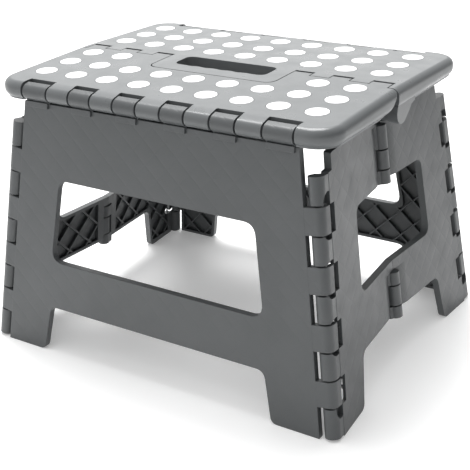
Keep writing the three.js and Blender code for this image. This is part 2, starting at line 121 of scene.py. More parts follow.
CORNER_FOOT = Vector((153.9, -121.8, 0))
CORNER_KNUCKLE = 5.9
CORNER_FIRST = 23.8
CORNER_PITCH = 20.15
KNUCKLE_FOOT = 1.3  # height at which the lowest corner knuckle starts
# Where knuckles meet hooks, and how far up (+) or down (-) the round notch there reaches
NOTCHES = [(0, -9), (7, 9), (2, -3.5), (4, -3.5), (3, 3), (5, 3), (6, -3.5)]
HOOK_NECK = 9
HOOK_CORNER = 1.5  # radius at a corner hook's tail, which is squarer than its barrel
CHANNEL = 12.6  # from the corner axis to the end plate, beside each hook
END_AXIS_OFFSET = 6
END_FOLD_IN = math.radians(4.25)
PLATE_INNER = 0.25
PLATE_OUTER = 5.75
PLATE_FROM = 6.6
END_TOP = 196.4
END_STEP = 5.5
END_MEET = 0.2
END_KNUCKLE = 5.2
END_SETBACK = 1.1  # how much deeper than the CAD's the middle barrels sit
END_NOTCH = 5.4
EDGE_ROLL = 2.8  # how deep an end plate rolls in beside the middle barrels
ROLL_START = -20
ROLL_WIDTH = 14
END_SHOULDER = 22  # where an end plate's upper edge meets the slope up from the middle barrels
END_ARCH_TOP = 41.5
END_ARCH_HALF = 77.5
END_WINDOW_LOW = 83
END_WINDOW_HIGH = 147
END_WINDOW_HALF = 61
END_WINDOW_TAPER = 0.07
END_WINDOW_CORNER = 8
UPPER_STOPS = [144.4, 155.8, 170.9, 189.6]
LOWER_STOPS = [36, 46.6, 63.5, 74.6]
WEB_INSET = 0.3

PANEL_SKIN = 2.3  # outer skin of a leg or end panel, in front of its lattice
FRAME_WIDTH = 3  # solid border round every panel outline
RAIL_WIDTH = 7.3  # solid border beside the middle barrels
RIB_PITCH = 17
RIB_WIDTH = 1.5
TREAD_RIB_PITCH = 24
TREAD_RIB_REACH = 132
TREAD_RIB_ROWS = (38, 56, 74)
TREAD_RIB_HALF = 0.7  # half the width of a rib under the tread
TREAD_RIB_DEPTH = 9  # from the tread's face to the ribs' lower edges
ROUND_STEPS = 7  # steps in a rounded corner of an outline
FINE = 12  # steps in a quarter turn
QUARTER = math.pi / 2

# Where a flat (a, b) section goes when it is extruded along c
UPRIGHT = Matrix.Identity(4)
ALONG_X = Matrix(((0, 0, 1, 0), (1, 0, 0, 0), (0, 1, 0, 0), (0, 0, 0, 1)))
HALF_TURN = Matrix.Rotation(math.pi, 4, "Z")
MIRROR_X = Matrix.Diagonal((-1, 1, 1, 1))
MIRROR_Y = Matrix.Diagonal((1, -1, 1, 1))


# ---- Outlines ---------------------------------------------------------------------------------

def arc(radius, start, end, steps=FINE, cx=0, cy=0):
    turns = [start + (end - start) * i / steps for i in range(steps + 1)]
    return [(cx + radius * math.cos(t), cy + radius * math.sin(t)) for t in turns]


def disc(radius, cx=0, cy=0, sides=48):
    return arc(radius, 0, 4 * QUARTER, sides, cx, cy)[:-1]


def rectangle(x0, x1, y0, y1):
    return [(x0, y0), (x1, y0), (x1, y1), (x0, y1)]


def rounded(corners):
    """A closed outline through corners (x, y, radius), each rounded."""
    points = []
    for i, (x, y, radius) in enumerate(corners):
        here = Vector((x, y))
        back = (Vector(corners[i - 1][:2]) - here).normalized()
        ahead = (Vector(corners[(i + 1) % len(corners)][:2]) - here).normalized()
        if radius == 0:
            points.append((x, y))
            continue
        reach = radius / math.tan(back.angle(ahead) / 2)
        start, end = here + back * reach, here + ahead * reach
        for k in range(ROUND_STEPS + 1):
            t = k / ROUND_STEPS
            p = start * (1 - t) ** 2 + here * (2 * t * (1 - t)) + end * t * t
            points.append((p.x, p.y))
    return points


def inset(corners, distance):
    """Corners (x, y, radius) of the outline that lies a distance inside an anticlockwise one."""
    flat = [Vector(c[:2]) for c in corners]
    found = []
    for i, here in enumerate(flat):
        before, after = flat[i - 1], flat[(i + 1) % len(flat)]
        u, v = (here - before).normalized(), (after - here).normalized()
        turn = u.x * v.y - u.y * v.x
        n = Vector((-u.y, u.x))
        m = Vector((-v.y, v.x))
        corner = here + (n + m) * distance / (1 + n.dot(m))
        radius = corners[i][2]
        found.append((corner.x, corner.y, max(radius - math.copysign(distance, turn), 0.8)))
    return found


# ---- Solids: (points, faces) in millimetres ------------------------------------------------------

def prism(section, low, high, place=UPRIGHT):
    count = len(section)
    points = [place @ Vector((a, b, c)) for c in (low, high) for a, b in section]
    faces = [tuple(reversed(range(count))), tuple(range(count, 2 * count))]
    for i in range(count):
        j = (i + 1) % count
        faces.append((i, j, j + count, i + count))
    return points, faces


def box(x0, x1, y0, y1, z0, z1):
    return prism(rectangle(x0, x1, y0, y1), z0, z1)


def loft(rings, caps):
    """A solid through rings with equal numbers of points; caps are runs of points that close it."""
    count = len(rings[0])
    points = [Vector(p) for ring in rings for p in ring]
    faces = []
    for r in range(len(rings) - 1):
        for i in range(count):
            a, b = r * count + i, r * count + (i + 1) % count
            faces.append((a, b, b + count, a + count))
    last = (len(rings) - 1) * count
    for cap in caps:
        faces.append(tuple(reversed(cap)))
        faces.append(tuple(last + i for i in cap))
    return points, faces


def moved(shape, matrix):
    return [matrix @ p for p in shape[0]], shape[1]


def both_ends(shapes):
    return shapes + [moved(s, MIRROR_X) for s in shapes]


def axes_place(a, b, c, origin):
    """Where a section goes when its axes a, b and c are given as vectors, with its origin."""
    return Matrix.Translation(origin) @ Matrix((a, b, c)).transposed().to_4x4()


def along_axis(section, origin, a, b, up, z0, z1):
    """A section extruded along a slanting axis between two heights."""
    start = origin + up * (z0 / up.z)
    return prism(section, 0, (z1 - z0) / up.z, axes_place(a, b, up, start))


def make_mesh(name, shapes):
    points, faces = [], []
    for shape_points, shape_faces in shapes:
        base = len(points)
        points += [p * MM for p in shape_points]
        faces += [tuple(base + i for i in face) for face in shape_faces]
    mesh = bpy.data.meshes.new(name)
    mesh.from_pydata(points, [], faces)
    fresh = bmesh.new()
    fresh.from_mesh(mesh)
    bmesh.ops.recalc_face_normals(fresh, faces=fresh.faces)
    fresh.to_mesh(mesh)
    fresh.free()
    return mesh


def new_object(name, mesh):
    obj = bpy.data.objects.new(name, mesh)
    bpy.context.scene.collection.objects.link(obj)
    return obj


def carve(obj, shapes, operation="DIFFERENCE"):
    """Cuts shapes out of an object's mesh, or joins them to it."""
    tool = new_object("tool", make_mesh("tool", shapes))
    cut = obj.modifiers.new("cut", "BOOLEAN")
    cut.operation = operation
    cut.solver = "EXACT"
    cut.use_self = len(shapes) > 1
    cut.object = tool
    bpy.context.view_layer.update()
    result = bpy.data.meshes.new_from_object(obj.evaluated_get(bpy.context.evaluated_depsgraph_get()))
    obj.modifiers.clear()
    obj.data = result
    bpy.data.objects.remove(tool)


def add_mesh(obj, mesh):
    """Adds a mesh to an object's own, and removes it together with the object that held it."""
    work = bmesh.new()
    work.from_mesh(obj.data)
    work.from_mesh(mesh)
    work.to_mesh(obj.data)
    work.free()
    bpy.data.meshes.remove(mesh)


def append_shapes(obj, shapes):
    """Adds closed solids to an object's mesh, as shells of their own that reach into the others."""
    add_mesh(obj, make_mesh("extra", shapes))


def tidy_faces(obj):
    """Joins the faces that booleans left split in one plane."""
    work = bmesh.new()
    work.from_mesh(obj.data)
    bmesh.ops.remove_doubles(work, verts=work.verts, dist=2e-6)
    bmesh.ops.dissolve_limit(
        work, angle_limit=math.radians(0.4), verts=work.verts, edges=work.edges, use_dissolve_boundaries=False
    )
    work.to_mesh(obj.data)
    work.free()


def soften(obj, width, segments=2):
    """Rounds the sharp edges and shades the rest smoothly."""
    bevel = obj.modifiers.new("bevel", "BEVEL")
    bevel.width = width * MM
    bevel.segments = segments
    bevel.limit_method = "ANGLE"
    bevel.angle_limit = math.radians(34)
    bevel.use_clamp_overlap = True
    bevel.miter_outer = "MITER_ARC"
    obj.data.polygons.foreach_set("use_smooth", [True] * len(obj.data.polygons))
    weighted = obj.modifiers.new("normals", "WEIGHTED_NORMAL")
    weighted.keep_sharp = True
    weighted.weight = 80
    return obj


# ---- Top ----------------------------------------------------------------------------------------

def crown_place(side):
    """Leans a level solid, so that it falls away from the ridge on one side."""
    place = Matrix.Identity(4)
    place[2][1] = -side * CROWN
    return place


def top_ring(shrink, z, fall):
    cx, cy = TOP_HALF_LENGTH - TOP_CORNER, TOP_HALF_WIDTH - TOP_CORNER
    quarter = [(TOP_HALF_LENGTH - shrink, 0)] + arc(TOP_CORNER - shrink, 0, QUARTER, FINE, cx, cy)
    rear = quarter + [(-x, y) for x, y in reversed(quarter)]
    front = [(-x, -y) for x, y in rear[1:-1]]
    return [(x, y, z - fall * abs(y)) for x, y in rear + front]


def top_slab():
    """Both halves as one roof with a rolled rim, which has a narrow lip below its bulge."""
    lip = math.acos(1 - RIM_LIP / BARREL)
    rings = [top_ring(RIM_LIP, RIM_BOTTOM, 0)]
    rings += [top_ring(BARREL - reach, z, 0) for reach, z in arc(BARREL, -lip, 0, 6, 0, EDGE_Z)]
    upper = arc(RIM_ROLL, 0, QUARTER, 9, 0, HEIGHT - RIM_ROLL)
    rings += [top_ring(RIM_ROLL - reach, z, CROWN) for reach, z in upper]
    count = len(rings[0])
    middle = count // 2
    return loft(rings, [list(range(middle + 1)), list(range(middle, count)) + [0]])


def ridge_boundary(edge, tip, gap):
    """The boundary between the halves for x > 0, from the end to the middle."""
    points = [(BEYOND, edge - END_JOG), (RIDGE_STOPS[-1] - gap, edge - END_JOG)]
    for i in (4, 2, 0):
        inner, outer = RIDGE_STOPS[i] + gap, RIDGE_STOPS[i + 1] - gap
        if i < 4:
            points.append((outer, edge))
        points += [(outer, tip), (inner, tip)]
        if i > 0:
            points.append((inner, edge))
    half, front = LOOP_HALF + 0.2 + gap, LOOP_FRONT + 0.2 + gap
    return points + arc(LOOP_CORNER, 0, -QUARTER, FINE, half - LOOP_CORNER, LOOP_CORNER - front)


def plan(side):
    gap = -side * SEAM / 3
    right = ridge_boundary(-FINGER - gap, FINGER_TIP if side < 0 else FINGER, gap)
    left = [(-x, y) for x, y in reversed(right)]
    return right + left + [(-BEYOND, BEYOND * side), (BEYOND, BEYOND * side)]


def hollow(side):
    half = TOP_HALF_LENGTH - RIM_LIP - RIM_WALL
    near, far = sorted((side * (FINGER + RIM_WALL), side * (SLOT_BACK - RIM_WALL)))
    section = rectangle(-half, half, near, far)
    return prism(section, RIM_BOTTOM - 10, HEIGHT - SKIN, crown_place(side))


def hook_rooms(side):
    """The slots that a leg's hooks turn in, cut into the outer edge."""
    near, far = sorted((side * SLOT_BACK, side * (TOP_HALF_WIDTH + 5)))
    rooms = []
    for inner, outer in zip(EDGE_STOPS[::2], EDGE_STOPS[1::2]):
        x0, x1 = inner - HOOK_SEAM / 3, outer + HOOK_SEAM / 3
        rooms.append(box(x0, x1, near, far, RIM_BOTTOM - 10, HEIGHT + 5))
    return both_ends(rooms)


def tooth_profile(side):
    """What the rim loses between the hooks, so that it becomes a barrel with a flat run-out."""
    crest = EDGE_Y - 5
    above = HEIGHT - CROWN * crest
    barrel = arc(BARREL, QUARTER, -2.3 * QUARTER / 2, 14, EDGE_Y, EDGE_Z)
    low = EDGE_Z - BARREL + 0.6
    outside = [(SLOT_BACK, low), (SLOT_BACK, RIM_BOTTOM - 4), (120, RIM_BOTTOM - 4), (120, HEIGHT + 6)]
    profile = [(crest, HEIGHT + 6), (crest, above)] + barrel + outside
    end = (EDGE_STOPS[-2] + EDGE_STOPS[-1]) / 2
    return prism([(side * y, z) for y, z in profile], -end, end, ALONG_X)


def rim_rise():
    """What the front half's rim loses at its right end, beside the rear half's tongue."""
    profile = RIM_RISE + [(1, 222), (1, RIM_BOTTOM - 1), (-33, RIM_BOTTOM - 1)]
    return prism(profile, RIDGE_STOPS[-1] + 0.35, TOP_HALF_LENGTH + 5, ALONG_X)


def hand_hole():
    """The slot in the loop; its front edge has four low swells that part the fingers."""
    corners = rectangle(-SLOT_HALF, SLOT_HALF, -SLOT_FRONT, SLOT_END)
    points = rounded([(x, y, SLOT_CORNER) for x, y in corners])
    first_corner, others = points[:ROUND_STEPS + 1], points[ROUND_STEPS + 1:]
    swells = []
    for step in range(-SCALLOP_REACH, SCALLOP_REACH + 1):
        swell = math.sin(2 * math.pi * step / SCALLOP_PITCH) * SCALLOP_DEPTH
        swells.append((step, -SLOT_FRONT - swell * (abs(step) < SCALLOP_REACH)))
    return prism(first_corner + swells + others, RIM_BOTTOM - 10, HEIGHT + 5)


def dot_centres(side):
    for row, reach in enumerate(DOT_ROWS):
        for column in range(-4, 5):
            if side > 0 or row > 0 or abs(column) > 2:
                yield column * DOT_PITCH + DOT_SHIFT[0], side * reach + DOT_SHIFT[1]


def dot(side, centre, radius, low, high):
    return prism(disc(radius, *centre), HEIGHT + low, HEIGHT + high, crown_place(side))


def ridge_knuckle(side, x0, x1):
    top = HEIGHT - 2
    reach = FINGER_TIP - 0.2 if side < 0 else -FINGER + 0.4
    bend = math.acos(reach / RIDGE_KNUCKLE)
    if side < 0:
        round_part = arc(RIDGE_KNUCKLE, -2 * QUARTER, bend, 24, 0, RIDGE_Z)
        return prism(round_part + [(reach, top), (-RIDGE_KNUCKLE, top)], x0, x1, ALONG_X)
    round_part = arc(RIDGE_KNUCKLE, bend, 4 * QUARTER, 24, 0, RIDGE_Z)
    return prism(round_part + [(RIDGE_KNUCKLE, top), (reach, top)], x0, x1, ALONG_X)


def ridge_tongue():
    """The rear half's outermost knuckle, which reaches back under the rim."""
    front = -FINGER + 0.4
    round_part = arc(TONGUE_RADIUS, 2 * QUARTER, 3.55 * QUARTER, 24, *TONGUE_CENTRE)
    end = (TONGUE_ROOT[-1][0], EDGE_Z - 1)
    profile = [(-8.4, 206.8)] + round_part + TONGUE_ROOT + [end, (front, EDGE_Z - 1)]
    return prism(profile, RIDGE_STOPS[-1] + 0.3, TOP_HALF_LENGTH - 0.7, ALONG_X)


def ridge_knuckles(side):
    stops = RIDGE_STOPS if side < 0 else RIDGE_STOPS[1:-1]
    knuckles = [] if side < 0 else [ridge_tongue()]
    for inner, outer in zip(stops[::2], stops[1::2]):
        knuckles.append(ridge_knuckle(side, inner + SEAM / 2, outer - SEAM / 2))
    return both_ends(knuckles)


def underside_ribs(side):
    """A grid of stiffening ribs under the tread, inside the hollow."""
    half = TOP_HALF_LENGTH - RIM_LIP - RIM_WALL
    near, far = FINGER + RIM_WALL, SLOT_BACK - RIM_WALL
    start = LOOP_FRONT + 5 if side < 0 else near
    place, bottom = crown_place(side), HEIGHT - TREAD_RIB_DEPTH
    low, high = sorted((side * (start - 1), side * (far + 1)))
    ribs = []
    for x in range(-TREAD_RIB_REACH, TREAD_RIB_REACH + 1, TREAD_RIB_PITCH):
        section = rectangle(x - TREAD_RIB_HALF, x + TREAD_RIB_HALF, low, high)
        ribs.append(prism(section, bottom, HEIGHT - SKIN + 0.5, place))
    for y in TREAD_RIB_ROWS:
        low, high = sorted((side * (y - TREAD_RIB_HALF), side * (y + TREAD_RIB_HALF)))
        section = rectangle(-half - 1, half + 1, low, high)
        ribs.append(prism(section, bottom, HEIGHT - SKIN + 0.4, place))
    return ribs


def top_half(name, side):
    obj = new_object(name, make_mesh(name, [top_slab()]))
    carve(obj, [prism(plan(side), RIM_BOTTOM - 20, HEIGHT + 20)], "INTERSECT")
    cuts = [hollow(side)] + hook_rooms(side)
    cuts += [dot(side, c, DOT_RADIUS + DOT_RING, -DOT_DEPTH - 0.4, 5) for c in dot_centres(side)]
    if side > 0:
        cuts.append(box(-BEYOND, BEYOND, -LOOP_FRONT - 1, -FINGER, RIM_BOTTOM - 5, HEIGHT - LOOP_DEPTH))
    carve(obj, cuts)
    carve(obj, [tooth_profile(side)] + (both_ends([rim_rise()]) if side < 0 else [hand_hole()]))
    tidy_faces(obj)
    end = EDGE_STOPS[-1] + 2
    rod = prism(disc(ROD, side * EDGE_Y, EDGE_Z), -end, end, ALONG_X)
    append_shapes(obj, [rod] + ridge_knuckles(side) + underside_ribs(side))
    return soften(obj, 0.45)


def grip_dots(name, side):
    shapes = [dot(side, c, DOT_RADIUS, -DOT_DEPTH, DOT_PROUD) for c in dot_centres(side)]
    return soften(new_object(name, make_mesh(name, shapes)), 0.25)


# ---- Lattice on the inner faces -------------------------------------------------------------------

def crossings(origin, along, outlines):
    """Distances along a line at which it crosses closed outlines, in order."""
    found = []
    for outline in outlines:
        for start, end in zip(outline, outline[1:] + outline[:1]):
            edge = Vector(end) - Vector(start)
            across = along.x * edge.y - along.y * edge.x
            if abs(across) < 1e-9:
                continue
            gap = Vector(start) - origin
            place = (gap.x * along.y - gap.y * along.x) / across
            if 0 <= place < 1:
                found.append((gap.x * edge.y - gap.y * edge.x) / across)
    return sorted(found)


def lattice(outlines, low, high, place):
    """Crossed ribs at 45 degrees that fill the space between closed outlines."""
    ribs = []
    for sign in (-1, 1):
        along = Vector((1, sign)).normalized()
        across = Vector((-along.y, along.x))
        reach = [across.dot(Vector(p)) for outline in outlines for p in outline]
        for k in range(math.ceil(min(reach) / RIB_PITCH), math.floor(max(reach) / RIB_PITCH) + 1):
            origin = across * (k * RIB_PITCH + 0.01)
            cuts = crossings(origin, along, outlines)
            for start, end in zip(cuts[::2], cuts[1::2]):
                if end - start < 3:
                    continue
                side = across * RIB_WIDTH / 2
                a, b = origin + along * (start - 0.8), origin + along * (end + 0.8)
                corners = [a - side, b - side, b + side, a + side]
                ribs.append(prism([tuple(p) for p in corners], low, high, place))
    return ribs


# ---- Leg panels -----------------------------------------------------------------------------------

def leg_y(z):
    return -LEG_FACE + LEG_LEAN * z


LEG_PLACE = Matrix(((1, 0, 0, 0), (0, LEG_LEAN, -1, leg_y(0) + LEG_THICK), (0, 1, 0, 0), (0, 0, 0, 1)))


def leg_outline():
    def arch_x(z):
        return LEG_ARCH_HALF - ARCH_TAPER * z

    def edge(z):
        return LEG_HALF - LEG_TAPER * z

    right = [
        (arch_x(LEG_ARCH_TOP), LEG_ARCH_TOP, ARCH_CORNER), (arch_x(0), 0, FOOT_CORNER),
        (edge(0), 0, 0), (edge(LEG_TOP), LEG_TOP, 0),
    ]
    return right + [(-x, z, radius) for x, z, radius in reversed(right)]


def leg_window():
    low, high, low_half = LEG_WINDOW_LOW, LEG_WINDOW_HIGH, LEG_WINDOW_HALF
    high_half = low_half - LEG_WINDOW_TAPER * (high - low)
    corners = [(-low_half, low), (low_half, low), (high_half, high), (-high_half, high)]
    return [(x, z, LEG_WINDOW_CORNER) for x, z in corners]


def hook_bore(facing, cx=0, cy=0):
    mouth = math.asin(SNAP / BORE)
    return arc(BORE, facing + 4 * QUARTER - mouth, facing + mouth, 24, cx, cy)


def edge_hook(x0, x1):
    """A C-shaped hook over the top's rod, with a neck that joins it to the panel below."""
    mouth = math.asin(SNAP / BARREL)
    low = EDGE_Z - HOOK_FOOT
    inside = leg_y(low) + LEG_THICK - WEB_INSET
    section = arc(HOOK_REACH, mouth, 0.85 * QUARTER, 12, -EDGE_Y, EDGE_Z)
    section += arc(BARREL, 1.25 * QUARTER, 2.62 * QUARTER, 20, -EDGE_Y, EDGE_Z)
    section += [(leg_y(low + 4) + 0.1, low + 3.6), (leg_y(low) + 0.3, low), (inside, low)]
    section += arc(BARREL, 3.5 * QUARTER, 4 * QUARTER - mouth, 4, -EDGE_Y, EDGE_Z)
    return prism(section + hook_bore(0, -EDGE_Y, EDGE_Z), x0, x1, ALONG_X)


def hook_lip(x0, x1):
    """The raised strip under a hook, a little narrower than the hook."""
    low, high = EDGE_Z - LIP_LOW, EDGE_Z - LIP_HIGH
    section = [(leg_y(low) + 1, low), (leg_y(high) + 1, high)]
    section += [(leg_y(high) - LIP_PROUD, high), (leg_y(low) - LIP_PROUD, low + 0.3)]
    return prism(section, x0 + 1.4, x1 - 0.4, ALONG_X)


AXIS_UP = Vector((-LEG_TAPER, LEG_LEAN, 1)).normalized()
LEG_OUT = Vector((0, -1, LEG_LEAN)).normalized()
LEG_IN = LEG_OUT.cross(AXIS_UP).normalized()


def corner_stop(i):
    return CORNER_FIRST + CORNER_PITCH * i


def corner_hook(z0, z1):
    slant = math.hypot(1, LEG_LEAN)
    outer = (LEG_FACE + CORNER_FOOT.y) / slant - WEB_INSET / 3
    inner = (LEG_FACE + CORNER_FOOT.y - LEG_THICK) / slant + WEB_INSET
    mouth = math.asin(SNAP / CORNER_KNUCKLE)
    section = arc(CORNER_KNUCKLE, mouth - QUARTER, 0.05, 10) + [(HOOK_NECK, inner), (HOOK_NECK, outer)]
    turn = CORNER_KNUCKLE - HOOK_CORNER
    section += arc(CORNER_KNUCKLE, QUARTER, 2 * QUARTER, 12)
    section += arc(HOOK_CORNER, 2 * QUARTER, 3 * QUARTER, 6, -turn, -turn)
    section += [(-SNAP, -CORNER_KNUCKLE)] + hook_bore(-QUARTER)
    return along_axis(section, CORNER_FOOT, LEG_IN, LEG_OUT, AXIS_UP, z0 + SEAM / 2, z1 - SEAM / 2)


def leg_panel(name):
    outline, window = leg_outline(), leg_window()
    pocket = rounded(inset(outline, FRAME_WIDTH))
    border = rounded(inset(window, -FRAME_WIDTH))
    floor = LEG_THICK - PANEL_SKIN
    obj = new_object(name, make_mesh(name, [prism(rounded(outline), 0, LEG_THICK, LEG_PLACE)]))
    carve(obj, [prism(pocket, -2, floor, LEG_PLACE)])
    carve(obj, [prism(border, 0.2, floor + 1, LEG_PLACE)], "UNION")
    carve(obj, [prism(rounded(window), -2, LEG_THICK + 2, LEG_PLACE)])
    tidy_faces(obj)
    shapes = []
    for inner, outer in zip(EDGE_STOPS[::2], EDGE_STOPS[1::2]):
        shapes.append(edge_hook(inner + HOOK_SEAM / 2, outer - HOOK_SEAM / 2))
        shapes.append(hook_lip(inner + SEAM / 2, outer - SEAM / 2))
    shapes += [corner_hook(corner_stop(i), corner_stop(i + 1)) for i in (0, 2, 4, 6)]
    append_shapes(obj, both_ends(shapes) + lattice([pocket, border], 0.4, floor + 0.4, LEG_PLACE))
    return obj


# ---- End panels -----------------------------------------------------------------------------------

FLAT_ALONG = (Vector((0, 1, 0)) - AXIS_UP * AXIS_UP.y).normalized()
PLATE_ALONG = Matrix.Rotation(END_FOLD_IN, 3, AXIS_UP) @ FLAT_ALONG
PLATE_OUT = PLATE_ALONG.cross(AXIS_UP).normalized()
END_UP = Vector((-PLATE_OUT.z, 0, PLATE_OUT.x)).normalized()
END_ALONG = END_UP.cross(PLATE_OUT).normalized()


def plate_x(offset):
    return (CORNER_FOOT.dot(PLATE_OUT) + offset) / PLATE_OUT.x


PLATE_DEPTH = plate_x(PLATE_OUTER) - plate_x(PLATE_INNER)
PLATE_SLOPES = (-PLATE_OUT.y / PLATE_OUT.x, -PLATE_OUT.z / PLATE_OUT.x, 1, plate_x(PLATE_INNER))
END_PLACE = Matrix((PLATE_SLOPES, (1, 0, 0, 0), (0, 1, 0, 0), (0, 0, 0, 1)))


def end_edge(z):
    return CORNER_FOOT.y + LEG_LEAN * z + PLATE_FROM


def arch_y(z):
    return -END_ARCH_HALF + ARCH_TAPER * z


def window_y(z):
    return -END_WINDOW_HALF + END_WINDOW_TAPER * (z - END_WINDOW_LOW)


def end_outline():
    arch, low, high = END_ARCH_TOP, END_WINDOW_LOW, END_WINDOW_HIGH
    lower_top, upper_top, top_knuckle = LOWER_STOPS[-1] + 0.7, UPPER_STOPS[-1] + 0.5, corner_stop(8)
    return [
        (end_edge(0), 0, 0), (arch_y(0), 0, FOOT_CORNER), (arch_y(arch), arch, ARCH_CORNER),
        (-END_NOTCH, arch, 0), (-END_NOTCH, lower_top, 0), (-END_MEET, lower_top, 0), (-END_MEET, low, 0),
        (window_y(low), low, END_WINDOW_CORNER), (window_y(high), high, END_WINDOW_CORNER),
        (-END_NOTCH, high, 0), (-END_NOTCH, upper_top, 0), (-END_SHOULDER, END_TOP, 4),
        (end_edge(END_TOP) + END_STEP, END_TOP, 1.5),
        (end_edge(top_knuckle) + END_STEP, top_knuckle, 0), (end_edge(top_knuckle), top_knuckle, 0),
    ]


def end_pocket():
    """Where the lattice shows, inside a border along every edge of the end plate."""
    arch, low, high, border = END_ARCH_TOP, END_WINDOW_LOW, END_WINDOW_HIGH, FRAME_WIDTH
    foot, shoulder, top, rail = 5, 186, END_TOP - 3.5, -END_NOTCH - RAIL_WIDTH
    return rounded([
        (end_edge(foot) + 6, foot, 1), (arch_y(foot) - border, foot, 1),
        (arch_y(arch) - border, arch + border, ARCH_CORNER),
        (rail, arch + border, 1), (rail, low - border, 1),
        (window_y(low) - border, low - border, END_WINDOW_CORNER),
        (window_y(high) - border, high + border, END_WINDOW_CORNER),
        (rail, high + border, 1), (rail, shoulder, 1), (-END_SHOULDER - 1, top, 1),
        (end_edge(END_TOP) + 7, top, 1),
    ])


def in_corner_plane(sections, low, high):
    """Solids from (along, height) sections at the front-right corner, between two depths outwards."""
    place = axes_place(PLATE_ALONG, AXIS_UP, PLATE_OUT, CORNER_FOOT)
    return [prism(section, low, high, place) for section in sections]


def hook_recesses():
    """The deep channel beside each hook, in the end plate's edge."""
    runs = [(corner_stop(i) + 0.3, corner_stop(i + 1) - 0.3) for i in (0, 2, 4, 6)]
    return in_corner_plane([rectangle(2, CHANNEL, a / AXIS_UP.z, b / AXIS_UP.z) for a, b in runs], -8, 8)


def knuckle_notches():
    """Round-ended notches where knuckles meet the hooks' channels: long at the two outer knuckles."""
    notches = []
    near, far = -3, CHANNEL - 3
    middle, half = (near + far) / 2, (far - near) / 2
    for stop, reach in NOTCHES:
        z = corner_stop(stop) / AXIS_UP.z
        bend = math.copysign(min(half, abs(reach) - 0.5), reach)
        end = z + reach - bend
        back = z - math.copysign(1, reach)
        swing = arc(1, 2 * QUARTER, 0, 12)
        round_end = [(middle + half * a, end + bend * b) for a, b in swing]
        notches.append([(near, back)] + round_end + [(far, back)])
    return in_corner_plane(notches, 2.2, 9)


def corner_knuckles():
    inward = -PLATE_OUT
    section = arc(CORNER_KNUCKLE, 0, 3 * QUARTER, 30)
    section += [(HOOK_NECK, WEB_INSET - PLATE_OUTER), (HOOK_NECK, -WEB_INSET - PLATE_INNER)]
    shapes = []
    for i in range(-1, 8, 2):
        low = KNUCKLE_FOOT if i < 0 else corner_stop(i) + SEAM / 2
        high = corner_stop(i + 1) - SEAM / 2
        shapes.append(along_axis(section, CORNER_FOOT, PLATE_ALONG, inward, AXIS_UP, low, high))
    return shapes


def corner_rod():
    return along_axis(disc(ROD), CORNER_FOOT, PLATE_ALONG, -PLATE_OUT, AXIS_UP, 12, corner_stop(7) + 10)


def end_knuckles(which):
    web = -END_NOTCH - 1.5
    offset = END_AXIS_OFFSET - END_SETBACK
    near, far = offset - PLATE_OUTER + 2.5, offset - PLATE_INNER - WEB_INSET
    section = arc(END_KNUCKLE, 2 * QUARTER, 5 * QUARTER, 30) + [(web, far), (web, near)]
    foot = Vector((plate_x(offset), 0, 0))
    shapes = []
    for stops in (UPPER_STOPS, LOWER_STOPS):
        for i in which:
            low, high = stops[i] + SEAM / 2, stops[i + 1] - SEAM / 2
            shapes.append(along_axis(section, foot, END_ALONG, -PLATE_OUT, END_UP, low, high))
    return shapes


def rolled_edge():
    """What the plate's outer face loses where it rolls inwards to the middle barrels."""
    steps = range(ROLL_WIDTH + 1)
    roll = [(ROLL_START + step, EDGE_ROLL * (step / ROLL_WIDTH) ** 2 - 0.02) for step in steps]
    foot = Vector((plate_x(PLATE_OUTER), 0, 0))
    shapes = []
    for stops in (UPPER_STOPS, LOWER_STOPS):
        section = roll + [(2, EDGE_ROLL), (2, -3), (ROLL_START, -3)]
        shapes.append(along_axis(section, foot, END_ALONG, -PLATE_OUT, END_UP, stops[0] - 6, stops[-1] + 0.5))
    return shapes


def end_panel(name, which):
    """The front-right end plate, with the outer two knuckles of each middle barrel or the middle one."""
    pocket = end_pocket()
    floor = PLATE_DEPTH - PANEL_SKIN
    obj = new_object(name, make_mesh(name, [prism(rounded(end_outline()), 0, PLATE_DEPTH, END_PLACE)]))
    carve(obj, [prism(pocket, -2, floor, END_PLACE)])
    carve(obj, hook_recesses())
    carve(obj, rolled_edge())
    tidy_faces(obj)
    append_shapes(obj, lattice([pocket], 0.4, floor + 0.4, END_PLACE) + end_knuckles(which))
    corner = new_object("corner", make_mesh("corner", corner_knuckles()))
    carve(corner, knuckle_notches())
    add_mesh(obj, corner.data)
    append_shapes(obj, [corner_rod()])
    return obj


def twin(obj, name, matrix):
    """A copy of an object's mesh at another corner of the stool."""
    mesh = obj.data.copy()
    mesh.transform(matrix)
    if matrix.determinant() < 0:
        mesh.flip_normals()
    return new_object(name, mesh)


# ---- Materials --------------------------------------------------------------------------------------

